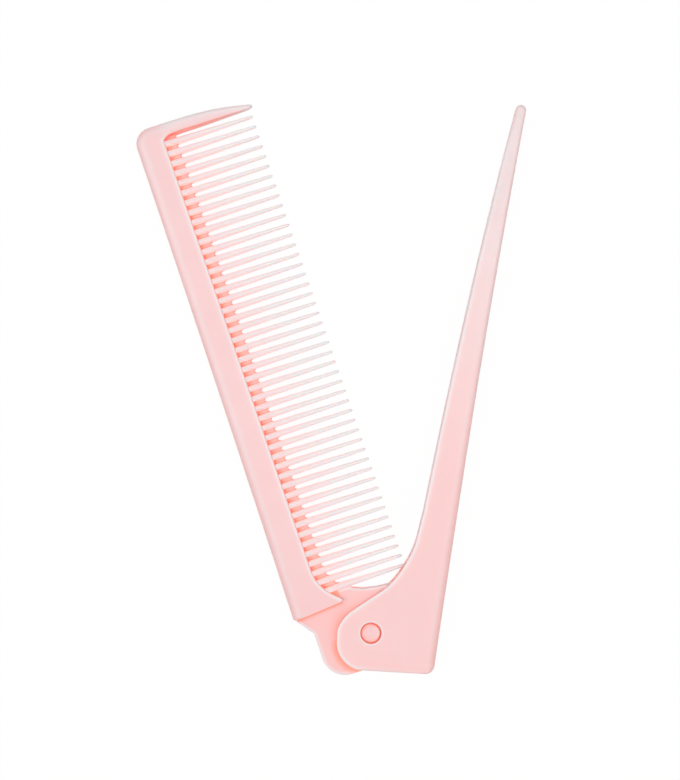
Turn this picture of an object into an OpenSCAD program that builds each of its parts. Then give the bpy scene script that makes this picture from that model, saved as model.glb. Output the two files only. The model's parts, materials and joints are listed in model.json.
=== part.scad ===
// Folding pocket comb: a fine-toothed comb moulding swings on a pin between the two cheeks
// of a slotted, pointed tail handle. It lies flat, with the hinge axis upright.

/* [Overall] */
// Angle between the comb and the handle as modelled, 0 is folded shut
open_angle = 27; // [5:1:60]
// How far the comb leans to the left of the length axis
comb_lean = 18; // [0:1:30]
// Thickness of the spine and of the handle
body_t = 5; // [4.6:0.1:6]

/* [Comb] */
// Height of the first tooth above the hinge axis
first_tooth = 11.7; // [11.5:0.05:12]
// Distance from the first tooth to the second
tooth_pitch = 2.233; // [2.2:0.001:2.3]
// How the row opens towards its free end, for each tooth number squared
tooth_spread = 0.0005; // [0:0.0001:0.001]
// Number of teeth
tooth_count = 47; // [40:1:50]
// Width of a tooth at its root
tooth_root_w = 1.46; // [1.2:0.02:1.6]
// Width of a tooth at its tip
tooth_tip_w = 0.64; // [0.5:0.02:0.8]
// How much thicker a tooth's taper starts than the slot in the handle
tooth_shoulder = 0.8; // [0.4:0.1:1]
// Thickness of a tooth at its tip
tooth_tip_t = 1.4; // [1:0.1:1.8]
// How far the first tooth reaches past the hinge axis
tooth_reach = 11.7; // [11:0.1:12]
// How far the spine's back lies behind the hinge axis, at the hinge end
spine_back = 15.33; // [15:0.05:16]
// How far the spine's back bows out towards its free end
spine_bow = 0.68; // [0:0.02:1]
// Width of the thick spine bar at the hinge end
spine_w = 7.15; // [6:0.05:7.6]
// Radius of the spine's free corner
spine_corner_r = 3.6; // [2.5:0.1:4]
// Width of the thin strip that joins the roots of the teeth
strip_w = 2.85; // [2:0.05:3.2]
// Thickness of that strip
strip_t = 1.2; // [0.8:0.1:1.6]
// Clear gap from the last tooth to the end guard
guard_gap = 0.8; // [0.7:0.05:1.1]
// Width of the end guard at its root
guard_w = 3; // [2.6:0.05:3.4]
// How far the end guard reaches past the hinge axis
guard_reach = 10.9; // [10.5:0.1:11.6]
// Thickness of the end guard at its tip
guard_tip_t = 2.2; // [1.6:0.1:3]

/* [Hinge] */
// Radius of the hinge pin
pin_r = 2.25; // [1.8:0.05:2.4]
// Radial running clearance of the pin in the cheeks
pin_clear = 0.05; // [0.02:0.01:0.1]
// How far the pin's ends lie below the faces of the cheeks
pin_sink = 0.25; // [0.1:0.05:0.4]
// Chamfer on the pin's ends
pin_chamfer = 0.3; // [0.1:0.05:0.4]
// Width of the rounded rim at each pin hole
rim_w = 0.35; // [0.1:0.05:0.5]
// Half of the width of the hinge tongue
tongue_half = 11.85; // [11.6:0.05:12]
// How far the hinge tongue reaches below the hinge axis
tongue_drop = 7.35; // [7:0.05:7.8]
// Radius of the tongue's lower corners
tongue_corner_r = 5.2; // [5:0.1:6]
// Clearance on each side of the tongue in its slot
tongue_clear = 0.15; // [0.1:0.01:0.25]

/* [Handle] */
// Thickness of each cheek
cheek_t = 1.2; // [1:0.05:1.3]
// Gap between the tongue's side and the handle's back wall
stop_gap = 0.55; // [0.45:0.05:0.7]
// Width of the wall along the handle's back that closes the slot
web_w = 2.1; // [1.8:0.05:2.8]
// How far the handle's back edge bows out at the point
handle_bow = 1.26; // [0.8:0.02:1.4]
// Distance from the hinge axis to the handle's inner edge at the throat
handle_inner = 7.25; // [6:0.05:8]
// Distance from the hinge axis to the tip of the tail
tail_reach = 119.2; // [116:0.1:122]
// Height above the hinge axis where the slot ends and the solid tail begins
slot_end = 93; // [88:0.5:94]
// Radius of the tail's rounded tip
tail_tip_r = 1.28; // [1:0.02:1.5]
// Thickness of the tail at its tip
tail_tip_t = 2.8; // [2.4:0.1:3.4]
// Radius of the hinge lobe
lobe_r = 7.4; // [7:0.1:7.8]
// Radius of the lobe's lower corner
heel_r = 5.85; // [5:0.1:6.2]
// Distance from the hinge axis down to the handle's base
base_drop = 8.3; // [8:0.05:8.6]
// Slope of the handle's base
base_slope = 5.5; // [4:0.1:6]
// Radius of the handle's base corner
base_corner_r = 2; // [1:0.1:3]

/* [Hidden] */
pink = [0.98, 0.80, 0.79];
deep_pink = [0.97, 0.70, 0.67];
pale_pink = [0.96, 0.90, 0.90];

half_t = body_t / 2;
slot_half = half_t - cheek_t;
handle_lean = open_angle - comb_lean;
web_face = tongue_half + stop_gap;
handle_back = web_face + web_w;
tongue_t = 2 * (slot_half - tongue_clear);
strip_half = strip_t / 2;

// Heights along the comb, measured from the hinge axis
function tooth_y(i) = first_tooth + i * (tooth_pitch + tooth_spread * i);
last_tooth = tooth_y(tooth_count - 1);
guard_in = last_tooth + tooth_root_w / 2 + guard_gap;
comb_top = guard_in + guard_w;
flare_rise = 5.9;
flare_top = first_tooth + flare_rise;
foot_drop = 3.2;
foot_in = first_tooth - foot_drop;
foot_step = 1.05;
foot_out = foot_in - foot_step;
flare_gap = 0.85;
flare_low = foot_in + flare_gap;
foot_r = 0.7;
fang_reach = 4;
fang_r = 0.35;

// Outer back edge, inner edge and strip edge of the comb at height y: each runs nearly
// straight, and near the hinge the inner ones flare out in a smooth power curve
comb_taper = 0.0157;
spine_flare = 4.3;
spine_power = 2.43;
strip_top = flare_top + 0.4;
strip_flare = 6.36;
strip_power = 2.57;
tip_taper = 0.0131;
function spine_out(y) =
    -(spine_back + spine_bow * pow(max(0, y - foot_out) / (comb_top - foot_out), 2));
function flare(y, top, reach, power) = reach * pow(max(0, top - y) / (top - flare_low), power);
function bar_edge(y) = spine_w - spine_back - comb_taper * (y - flare_top);
function spine_in(y) = bar_edge(y) + flare(y, flare_top, spine_flare, spine_power);
function strip_edge(y) = bar_edge(y) + strip_w + flare(y, strip_top, strip_flare, strip_power);
function tip_x(y) = tooth_reach - tip_taper * (y - first_tooth);

// Rounded cross-section of a flat bar: w wide from its first side, h thick each way from its
// middle plane. Each side is a quarter ellipse, a across and b down, above and below.
round_steps = 5;
function quarter(k) = 90 * k / round_steps;
function bar_section(w, h, a1, b1, a2, b2) = concat(
    [for (k = [0 : round_steps]) [a1 * (1 - sin(quarter(k))), -h + b1 * (1 - cos(quarter(k)))]],
    [for (k = [round_steps : -1 : 0]) [a1 * (1 - sin(quarter(k))), h - b1 * (1 - cos(quarter(k)))]],
    [for (k = [0 : round_steps]) [w - a2 * (1 - sin(quarter(k))), h - b2 * (1 - cos(quarter(k)))]],
    [for (k = [round_steps : -1 : 0])
        [w - a2 * (1 - sin(quarter(k))), -h + b2 * (1 - cos(quarter(k)))]]);
// The same section standing on the line from point p to point q
function bar_ring(p, q, h, a1, b1, a2, b2) =
    let (w = norm(q - p), d = (q - p) / w)
    [for (s = bar_section(w, h, a1, b1, a2, b2)) [p.x + d.x * s.x, p.y + d.y * s.x, s.y]];
function backwards(list) = [for (i = [len(list) - 1 : -1 : 0]) list[i]];
// Height left by a quarter-ellipse end of length l and depth b, at distance s from the end
function end_half(s, l, h, b) = s >= l ? h : h - b * (1 - sqrt(max(0, 1 - pow(1 - s / l, 2))));

// Solid skin over a stack of rings that all have the same number of points. A long bent
// outline is capped by a row of four-sided faces, a small one by a single face.
module skin(rings, bent = false) {
    n = len(rings[0]);
    m = len(rings);
    end = (m - 1) * n;
    cap = bent ? [for (i = [0 : n / 2 - 2]) [i, i + 1, n - 2 - i, n - 1 - i]] : [[for (i = [0 : n - 1]) i]];
    polyhedron(
        points = [for (r = rings) each r],
        faces = concat(
            cap,
            [for (f = cap) [for (i = backwards(f)) end + i]],
            [for (j = [0 : m - 2], i = [0 : n - 1]) [j * n + i, (j + 1) * n + i, (j + 1) * n + (i + 1) % n]],
            [for (j = [0 : m - 2], i = [0 : n - 1])
                [j * n + i, (j + 1) * n + (i + 1) % n, j * n + (i + 1) % n]]),
        convexity = 6);
}

// Thick back bar of the comb
back_round = 2;
back_depth = 2.1;
inner_round = 0.3;
end_round = 1.6;
function fang_in() = [for (a = [-80, -40, 0, 40])
    [fang_r * cos(a) - fang_reach, foot_in + fang_r * (1 + sin(a))]];
function spine_in_path() = concat(
    [[-fang_reach, foot_in]], fang_in(),
    [for (s = [0.05, 0.12, 0.2, 0.29, 0.38, 0.48, 0.59, 0.72, 0.85, 1])
        let (y = flare_low + s * (flare_top - flare_low)) [spine_in(y), y]],
    [for (s = [0.2, 0.4, 0.6, 0.8, 1])
        let (y = flare_top + s * (comb_top - spine_corner_r - flare_top)) [spine_in(y), y]],
    [for (a = [15, 30, 45, 60, 70, 80, 87])
        let (y = comb_top - spine_corner_r * (1 - sin(a))) [spine_in(y), y]]);
function spine_far(p) =
    let (y = p.y - foot_step * max(0, 1 - (p.y - foot_in) / (flare_top - foot_in)),
         up = max(0, y - (comb_top - spine_corner_r)), low = max(0, foot_out + foot_r - y))
    [spine_out(y) + spine_corner_r - sqrt(pow(spine_corner_r, 2) - pow(min(up, spine_corner_r), 2))
         + foot_r - sqrt(pow(foot_r, 2) - pow(min(low, foot_r), 2)), y];
function spine_rings() = [for (p = spine_in_path())
    let (h = end_half(comb_top - p.y, end_round, half_t, back_depth),
         a1 = p.y > guard_in - 3 ? 0.02 : inner_round)
    backwards(bar_ring(p, spine_far(p), h, a1, min(a1, inner_round), back_round, min(back_depth, h * 0.9)))];
module comb_spine() {
    color(pink) place_comb() skin(spine_rings());
}

// Thin strip between the roots of the teeth, one short floor in each gap
gap_bite = 0.46;
function floor_outline(y0, y1, top_path) =
    let (mid = (y0 + y1) / 2, half = (y1 - y0) / 2, bite = min(half, gap_bite))
    concat([[spine_in(y0), y0]],
           [for (s = [-1, -0.7, 0, 0.7, 1])
               [strip_edge(mid + s * half) - bite * sqrt(1 - s * s), mid + s * half]],
           top_path);
module tooth_web() {
    color(deep_pink) place_comb() translate([0, 0, -strip_half]) {
        for (i = [0 : tooth_count - 2])
            linear_extrude(strip_t) {
                y0 = tooth_y(i) + tooth_root_w / 2;
                y1 = tooth_y(i + 1) - tooth_root_w / 2;
                polygon(floor_outline(y0, y1, [[spine_in(y1), y1]]));
            }
        linear_extrude(strip_t) {
            y0 = last_tooth + tooth_root_w / 2;
            edge = strip_edge(y0);
            polygon(concat([[spine_in(y0), y0], [edge, y0], [edge, guard_low(edge)]],
                [for (x = backwards(guard_stations())) if (x < edge - 0.1) [x, guard_low(x)]]));
        }
    }
}

// One tooth: level with the bar's rounded faces at its root and full width across the strip,
// then a straight taper to a small rounded tip
tip_steps = [[1.56, 1], [0.55, 0.86], [0, 0.45]];
bevel_w = 0.3;
bevel_t = 0.2;
function tooth_section(w, t) =
    let (a = w / 2, b = t / 2, c = w * bevel_w, d = t * bevel_t)
    [[a, -b + d], [a, b - d], [a - c, b], [-a + c, b],
     [-a, b - d], [-a, -b + d], [-a + c, -b], [a - c, -b]];
function tooth_ring(y, x, w, t) = [for (p = tooth_section(w, t)) [x, y + p.x, p.y]];
// The root's face slants with the spine's inner edge
function tooth_root(y, w, t) =
    let (low = spine_in(y - w / 2), high = spine_in(y + w / 2))
    [for (p = tooth_section(w, t)) [low + (high - low) * (p.x / w + 0.5), y + p.x, p.y]];
module tooth(i) {
    y = tooth_y(i);
    flush_t = body_t - 2 * inner_round;
    root_t = 2 * slot_half + tooth_shoulder;
    x0 = spine_in(y);
    x1 = strip_edge(y);
    x2 = tip_x(y);
    function thick(x) = root_t + (tooth_tip_t - root_t) * (x - x0) / (x2 - x0);
    function wide(x) = tooth_root_w + (tooth_tip_w - tooth_root_w) * max(0, x - x1) / (x2 - x1);
    skin(concat([tooth_root(y, tooth_root_w, flush_t), tooth_ring(y, x1, wide(x1), thick(x1))],
        [for (s = tip_steps) let (x = x2 - s.x * tooth_tip_w)
            tooth_ring(y, x, wide(x) * s.y, thick(x) * s.y)]));
}
module comb_teeth() {
    color(pale_pink) place_comb() for (i = [0 : tooth_count - 1]) tooth(i);
}

// Curved horn that closes the row of teeth at the free end
guard_fillet = 2.1;
guard_side = 0.7;
guard_foot = guard_in - guard_gap;
guard_x0 = spine_in(guard_foot);
guard_bend = 2.03;
guard_rise = 0.016;
bend_start = 6;
function guard_low(x) =
    let (s = max(0, guard_x0 + guard_fillet - x) / guard_fillet)
    guard_in + guard_rise * max(0, x) - guard_gap * (1 - sqrt(max(0, 1 - s * s)));
function guard_high(x) =
    comb_top - guard_bend * pow(max(0, x + bend_start) / (guard_reach + bend_start), 2.3);
guard_steps = [0.005, 0.02, 0.05, 0.1, 0.16, 0.22, 0.38, 0.52, 0.66, 0.78, 0.87, 0.94];
function guard_stations() = [for (s = guard_steps) guard_x0 + s * (guard_reach - guard_x0)];
function guard_ring(p, q, half, tip) =
    let (w = q.y - p.y)
    backwards(bar_ring(p, q, half, min(inner_round, w * 0.3), half * guard_side,
                       min(end_round, w * tip), min(back_depth, half * 0.9)));
function guard_half(x) = half_t + (guard_tip_t / 2 - half_t) * pow(max(0, x - guard_x0)
    / (guard_reach - guard_x0), 1.4);
module end_guard() {
    nose_x = guard_stations()[11];
    nose_lo = guard_low(nose_x);
    nose_hi = guard_high(nose_x);
    nose_mid = (nose_lo + nose_hi) / 2;
    nose_w = (nose_hi - nose_lo) / 2;
    nose_l = guard_reach - nose_x;
    color(pink) place_comb() skin(concat(
        [guard_ring([spine_in(guard_foot), guard_foot], [spine_in(comb_top), comb_top], half_t, 0.5)],
        [for (x = guard_stations())
            guard_ring([x, guard_low(x)], [x, guard_high(x)], guard_half(x), 0.5)],
        [for (a = [35, 60, 78])
            guard_ring([nose_x + nose_l * sin(a), nose_mid - nose_w * cos(a)],
                       [nose_x + nose_l * sin(a), nose_mid + nose_w * cos(a)],
                       guard_half(nose_x) * (0.5 + 0.5 * cos(a)), 0.5)]));
}

// Flat tongue that the comb turns on, between the cheeks
dip_r = 18.85;
dip_x = 6.9;
dip_drop = 2.75;
dip_y = first_tooth - dip_drop;
ramp_low = 3.6;
ramp_r = 0.6;
ramp_step = 0.05;
toe_drop = 0.25;
toe = [foot_r - spine_back - toe_drop / 4, foot_out - toe_drop];
function tooth_under(x) =
    let (y = first_tooth, x1 = strip_edge(y), x2 = tip_x(y))
    y - (tooth_root_w + (tooth_tip_w - tooth_root_w) * max(0, x - x1) / (x2 - x1)) / 2;
function dip(x) = dip_y + dip_r - sqrt(dip_r * dip_r - pow(x - dip_x, 2));
function arc(c, r, a0, a1, n) =
    [for (k = [0 : n]) let (a = a0 + (a1 - a0) * k / n) [c.x + r * cos(a), c.y + r * sin(a)]];
function tongue_outline() =
    let (root_y = first_tooth - tooth_root_w / 2, right = tongue_half + ramp_step,
         corner = [tongue_half - tongue_corner_r, tongue_corner_r - tongue_drop])
    concat(
        [spine_far([-fang_reach, foot_in])], [[-fang_reach, foot_in]], fang_in(),
        [for (p = spine_in_path()) if (p.y > flare_low + fang_r / 4 && p.y < root_y - fang_r / 4) p],
        [[spine_in(root_y), root_y], [strip_edge(first_tooth), root_y]],
        [for (s = [-0.085, 0.04, 0.17, 0.34, 0.5, 0.67, 0.84, 0.93])
            let (x = s * tongue_half) [x, min(dip(x), tooth_under(x))]],
        [[right, dip(right)]],
        arc(corner, tongue_corner_r + right - tongue_half, 0, -90, 12),
        arc([-corner.x, corner.y], tongue_corner_r, -90, -180, 12),
        round_corner([-tongue_half, 0], [-tongue_half - ramp_step, ramp_low], toe, ramp_r, 3), [toe]);
module hinge_tongue() {
    color(deep_pink) place_comb() difference() {
        translate([0, 0, -tongue_t / 2]) linear_extrude(tongue_t) polygon(tongue_outline());
        translate([0, 0, -body_t]) cylinder(h = 2 * body_t, r = pin_r, $fn = 64);
    }
}

// Hinge pin with chamfered ends, tight in the tongue and free in the cheeks
module hinge_pin() {
    end = half_t - pin_sink;
    color(pink) place_comb() rotate_extrude($fn = 64)
        polygon([[0, -end], [pin_r - pin_chamfer, -end], [pin_r, -end + pin_chamfer],
                 [pin_r, end - pin_chamfer], [pin_r - pin_chamfer, end], [0, end]]);
}

// Back edge and inner edge of the handle at height y
waist_share = 0.394;
waist = waist_share * tail_reach;
base_flare = 0.21;
function handle_out(y) = handle_back + (y < waist ? base_flare * pow(1 - y / waist, 2)
    : handle_bow * pow((y - waist) / (tail_reach - waist), 2));
throat_top = 28;
inner_slope = 0.0445;
tail_curve = 2.23;
function handle_in(y) = handle_inner + inner_slope * (y - throat_top)
    + tail_curve * pow(max(0, y - throat_top) / (tail_reach - throat_top), 2.3);

// Outline of a cheek, from the slot's end down the inner edge, round the lobe and up the back.
// Each corner is [x, y, radius], and an edge that ends on a corner is tangent to its arc.
function unit(v) = v / norm(v);
function round_corner(p, v, q, r, n) =
    let (u1 = unit(p - v), u2 = unit(q - v), half = acos(u1 * u2) / 2,
         c = v + unit(u1 + u2) * r / sin(half),
         m = r / tan(half), s = v + u1 * m - c, e = v + u2 * m - c,
         a0 = atan2(s.y, s.x), turn = atan2(s.x * e.y - s.y * e.x, s * e))
    [for (k = [0 : n]) let (a = a0 + turn * k / n) [c.x + r * cos(a), c.y + r * sin(a)]];
throat_hi_y = 19;
throat_hi_in = 0.78;
throat_hi_r = 20;
throat_lo_y = 11.56;
throat_lo_in = 4;
throat_lo_r = 18;
lobe_left = 6.95;
lobe_high = 1.47;
throat_hi = [handle_inner - throat_hi_in, throat_hi_y];
throat_lo = [handle_inner - throat_lo_in, throat_lo_y];
lobe_corner = [-lobe_left, lobe_high];
base_left = [-lobe_left, -base_drop - lobe_left * tan(base_slope)];
base_right = [handle_out(-base_drop), handle_out(-base_drop) * tan(base_slope) - base_drop];
function side_heights(low, n) = [for (k = [0 : n]) low + (slot_end - low) * k / n];
function cheek_path() = concat(
    [for (y = backwards(side_heights(throat_top, 7))) [handle_in(y), y]],
    round_corner([handle_in(throat_top), throat_top], throat_hi, throat_lo, throat_hi_r, 6),
    round_corner(throat_hi, throat_lo, lobe_corner, throat_lo_r, 7),
    round_corner(throat_lo, lobe_corner, base_left, lobe_r, 9),
    round_corner(lobe_corner, base_left, base_right, heel_r, 12),
    round_corner(base_left, base_right, [handle_out(0), 0], base_corner_r, 7),
    [for (y = side_heights(base_drop, 9)) [handle_out(y), y]]);
// How wide the edge rounding is at a point of the outline: broad along the back edge,
// narrower towards the tail, slight along the base
base_edge = 0.45;
inner_edge = 1;
tail_edge = 0.9;
back_edge = 1.6;
function edge_width(p) =
    p.y < base_corner_r - base_drop && p.x > -inner_edge ? base_edge
    : p.x > web_face ? tail_edge + (back_edge - tail_edge) * max(0, 1 - max(0, p.y) / slot_end)
    : inner_edge;
function path_normal(path, i) =
    let (n = len(path), a = path[max(0, i - 1)], b = path[i], c = path[min(n - 1, i + 1)],
         u = i > 0 ? unit(b - a) : unit(c - b), v = i < n - 1 ? unit(c - b) : u,
         nu = [u.y, -u.x], nv = [v.y, -v.x])
    (nu + nv) / (1 + nu * nv);
function inset_ring(path, f, z) = [for (i = [0 : len(path) - 1])
    let (p = path[i], q = p + path_normal(path, i) * (-f * edge_width(p)))
    [q.x, (i == 0 || i == len(path) - 1) ? p.y : q.y, z]];
edge_stations = [0, 0.35, 0.6, 0.78, 0.9, 0.97, 1];
function cheek_rings() = [for (s = edge_stations)
    inset_ring(cheek_path(), 1 - sqrt(1 - s * s), slot_half + s * cheek_t)];
module cheek() {
    difference() {
        skin(cheek_rings(), bent = true);
        cylinder(h = body_t, r = pin_r + pin_clear, $fn = 64);
        translate([0, 0, half_t - rim_w])
            cylinder(h = 2 * rim_w, r1 = pin_r + pin_clear, r2 = pin_r + pin_clear + 2 * rim_w, $fn = 64);
    }
}
module front_cheek() {
    color(pink) place_handle() cheek();
}
module back_cheek() {
    color(pink) place_handle() mirror([0, 0, 1]) cheek();
}

// Wall that joins the cheeks along the back edge and closes the slot
web_foot = 3.55;
foot_slope = 1.15;
module handle_web() {
    outline = [for (p = cheek_path()) if (p.x > web_face) p];
    kept = [for (p = outline) if (p.y + web_foot > -foot_slope * (p.x - web_face)) p];
    color(deep_pink) place_handle() translate([0, 0, -slot_half]) linear_extrude(2 * slot_half)
        polygon(concat([[web_face, slot_end], [web_face, -web_foot]], kept));
}

// Solid pointed tail beyond the slot
tip_y = tail_reach - tail_tip_r;
function tail_half(y) = half_t + (tail_tip_t / 2 - half_t) * (y - slot_end) / (tail_reach - slot_end);
function tail_ring(x0, x1, y, h) =
    let (w = x1 - x0, b = min(cheek_t, h * 0.85))
    bar_ring([x0, y], [x1, y], h, min(inner_edge, w * 0.42), b, min(tail_edge, w * 0.42), b);
tip_mid = (handle_in(tip_y) + handle_out(tip_y)) / 2;
function tail_rings() = concat(
    [for (s = [0, 0.15, 0.3, 0.45, 0.6, 0.75, 0.9, 1]) let (y = slot_end + s * (tip_y - slot_end))
        tail_ring(handle_in(y), handle_out(y), y, tail_half(y))],
    [for (a = [25, 45, 62, 76])
        let (w = (handle_out(tip_y) - tip_mid) * cos(a), y = tip_y + tail_tip_r * sin(a))
        tail_ring(tip_mid - w, tip_mid + w, y, tail_half(tip_y) * (0.35 + 0.65 * cos(a)))]);
module tail_point() {
    color(pink) place_handle() skin(tail_rings());
}

// The origin lies at the middle of the object's box, on the plane that it rests on
function turned(p, a) = [p.x * cos(a) - p.y * sin(a), p.x * sin(a) + p.y * cos(a)];
comb_points = concat([for (r = spine_rings(), p = r) turned(p, comb_lean)],
                     [for (p = tongue_outline()) turned(p, comb_lean)]);
handle_points = concat([for (p = cheek_path()) turned(p, -handle_lean)],
                       [for (r = tail_rings(), p = r) turned(p, -handle_lean)]);
low_x = min([for (p = comb_points) p.x]);
high_x = max([for (p = handle_points) p.x]);
low_y = min([for (p = concat(comb_points, handle_points)) p.y]);
high_y = max([for (p = concat(comb_points, handle_points)) p.y]);
module place_comb() {
    translate([-(low_x + high_x) / 2, -(low_y + high_y) / 2, half_t]) rotate([0, 0, comb_lean]) children();
}
module place_handle() {
    translate([-(low_x + high_x) / 2, -(low_y + high_y) / 2, half_t])
        rotate([0, 0, -handle_lean]) children();
}

comb_spine();
tooth_web();
comb_teeth();
end_guard();
hinge_tongue();
hinge_pin();
front_cheek();
back_cheek();
handle_web();
tail_point();
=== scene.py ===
"""A pink folding pocket comb, lying flat and part open: comb moulding, slotted tail handle, pin.

Sizes are in millimetres from the hinge pin's axis, x across and y along each moulding, and z
from the middle plane of the thickness, until they are stood in the part's frame in metres.
"""
import json
import math

import bmesh
import bpy
import numpy as np
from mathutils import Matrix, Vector
from mathutils.geometry import tessellate_polygon


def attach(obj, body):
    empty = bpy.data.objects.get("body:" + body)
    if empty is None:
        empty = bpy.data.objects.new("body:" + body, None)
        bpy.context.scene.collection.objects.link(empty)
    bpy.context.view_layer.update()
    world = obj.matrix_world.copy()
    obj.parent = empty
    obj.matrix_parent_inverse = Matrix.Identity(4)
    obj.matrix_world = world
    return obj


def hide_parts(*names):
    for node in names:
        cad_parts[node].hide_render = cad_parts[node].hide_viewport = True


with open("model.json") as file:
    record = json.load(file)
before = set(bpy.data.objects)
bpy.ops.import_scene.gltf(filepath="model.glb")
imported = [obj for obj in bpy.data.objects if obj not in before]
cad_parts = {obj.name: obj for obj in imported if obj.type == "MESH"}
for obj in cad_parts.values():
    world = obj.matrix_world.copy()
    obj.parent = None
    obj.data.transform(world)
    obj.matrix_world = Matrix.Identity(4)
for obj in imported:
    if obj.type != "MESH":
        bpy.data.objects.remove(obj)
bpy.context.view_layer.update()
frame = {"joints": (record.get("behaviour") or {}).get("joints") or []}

# Comb back and end guard

# The comb's thick back bar and the horn that closes the row of teeth are one run of the comb
# moulding, injection moulded in pink plastic: flat faces, a broad soft edge behind and a
# slight one inside.
MM = 0.001
pivot = np.array(frame["joints"][0]["pos_m"])
body_t = 5.0
half_t = body_t / 2
comb_lean = 18.0
crease_angle = 40.0


def stand(points, lean):
    """Millimetres about the pin's axis to metres in the part's frame: turned by lean degrees
    about the axis, and raised so that z = 0 is the plane that the comb lies on."""
    a = math.radians(lean)
    x, y, z = points[..., 0], points[..., 1], points[..., 2]
    turned = np.stack([x * math.cos(a) - y * math.sin(a),
                       x * math.sin(a) + y * math.cos(a), z + half_t], axis=-1)
    return turned * MM + pivot


def mesh_object(name, points, faces, material, **attributes):
    """A mesh from corner points and faces, turned to face outwards, and shaded smooth but for
    edges over the crease angle. Each attribute is a number for every point."""
    mesh = bpy.data.meshes.new(name)
    mesh.from_pydata(points.reshape(-1, 3).tolist(), [], faces)
    shell = bmesh.new()
    shell.from_mesh(mesh)
    bmesh.ops.recalc_face_normals(shell, faces=shell.faces)
    shell.to_mesh(mesh)
    shell.free()
    for key, values in attributes.items():
        layer = mesh.attributes.new(key, "FLOAT", "POINT")
        layer.data.foreach_set("value", np.asarray(values, np.float32).ravel())
    mesh.polygons.foreach_set("use_smooth", np.ones(len(mesh.polygons), bool))
    mesh.set_sharp_from_angle(angle=math.radians(crease_angle))
    mesh.materials.append(material)
    obj = bpy.data.objects.new(name, mesh)
    bpy.context.scene.collection.objects.link(obj)
    return obj


def tube_faces(rings, around, start=0):
    """Four-sided faces over a stack of closed rings, and one many-sided face at each end."""
    j, i = np.meshgrid(np.arange(rings - 1), np.arange(around), indexing="ij")
    k = (i + 1) % around
    quads = np.stack([j * around + i, j * around + k, (j + 1) * around + k, (j + 1) * around + i],
                     axis=-1).reshape(-1, 4) + start
    first = np.arange(around)[::-1] + start
    last = np.arange(around) + (rings - 1) * around + start
    return quads.tolist() + [first.tolist(), last.tolist()]


def quarter_edge(steps, power=2.0):
    """A rounded edge's share across, from 1 to 0, and its share down, from 0 to 1: a quarter of
    a superellipse of that power, which is an ellipse at 2 and squarer above. The power is one
    number, or one for each point along the edge."""
    k = np.linspace(0, np.pi / 2, steps + 1).reshape(-1, *(1,) * np.ndim(power))
    return 1 - np.sin(k) ** (2 / power), 1 - np.abs(np.cos(k)) ** (2 / power)


least_slant = 0.4


def slant(path, towards):
    """How squarely a line towards the other side leaves the path: 1 is square, 0 along it, and
    nothing under least_slant is given, so that no edge grows too wide."""
    t = np.gradient(path, axis=0)
    d = towards - path
    cross = np.abs(t[:, 0] * d[:, 1] - t[:, 1] * d[:, 0])
    lengths = np.linalg.norm(t, axis=1) * np.linalg.norm(d, axis=1) + 1e-9
    return np.clip(cross / lengths, least_slant, 1)


soft_power = 2.6
edge_share = 0.94
face_rings = np.array([0.03, 0.1, 0.3, 0.6, 0.8, 0.9, 0.97])


def bar_rings(inner, outer, half, in_w, in_d, out_w, out_d, steps=9):
    """Rings of a flat bar between two edge lines. Each crosses the bar on the line from its
    inner to its outer point: a quarter ellipse in_w by in_d rounds the inner edge above and
    below, one out_w by out_d and squarer, by soft_power, the outer. The faces between lie half
    above and below, with points at the shares across in face_rings. Both edges together take
    edge_share of the bar at most. With the rings come each point's distances from the inner
    and the outer edge."""
    width = np.linalg.norm(outer - inner, axis=1)
    line = (outer - inner) / width[:, None]
    square_in, square_out = slant(inner, outer), slant(outer, inner)
    in_w, out_w = in_w / square_in, out_w / square_out
    squeeze = np.minimum(1, edge_share * width / (in_w + out_w))
    half, in_w, in_d, out_w, out_d, width = (
        np.broadcast_to(v, square_in.shape)[:, None]
        for v in (half, in_w * squeeze, in_d, out_w * squeeze, out_d, width))
    across, down = quarter_edge(steps)
    out_across, out_down = quarter_edge(steps, soft_power)
    face = in_w + (width - out_w - in_w) * face_rings
    run = np.hstack([in_w * across, in_w * across[::-1], face, width - out_w * out_across,
                     width - out_w * out_across[::-1], face[:, ::-1]])
    level = np.broadcast_to(half, face.shape)
    z = np.hstack([-half + in_d * down, half - in_d * down[::-1], level, half - out_d * out_down,
                   -half + out_d * out_down[::-1], -level])
    xy = inner[:, None, :] + line[:, None, :] * run[..., None]
    rings = np.concatenate([xy, z[..., None]], axis=-1)
    return rings, run * square_in[:, None], (width - run) * square_out[:, None]


def bump(d, centre, width):
    """A smooth hump: 1 at the centre, falling by the square of the distance in widths."""
    return np.exp(-((d - centre) / width) ** 2)


def run_along(path):
    """How far along the line each of its points lies, from the first."""
    return np.concatenate([[0], np.cumsum(np.linalg.norm(np.diff(path, axis=0), axis=1))])


def spread(path, count):
    """The same line with count points at even steps along it."""
    run = run_along(path)
    s = np.linspace(0, 1, count)
    return np.stack([np.interp(s * run[-1], run, path[:, k]) for k in (0, 1)], axis=1)


spine_back, spine_bow, spine_w = 15.33, 0.68, 7.15
first_tooth, tooth_pitch, pitch_growth, tooth_count = 11.7, 2.233, 0.0005, 47
tooth_root_w, tooth_tip_w = 1.46, 0.64


def tooth_y(i):
    """Height of tooth i: the row's pitch opens by the square of the count."""
    return first_tooth + i * (tooth_pitch + pitch_growth * i)


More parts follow.
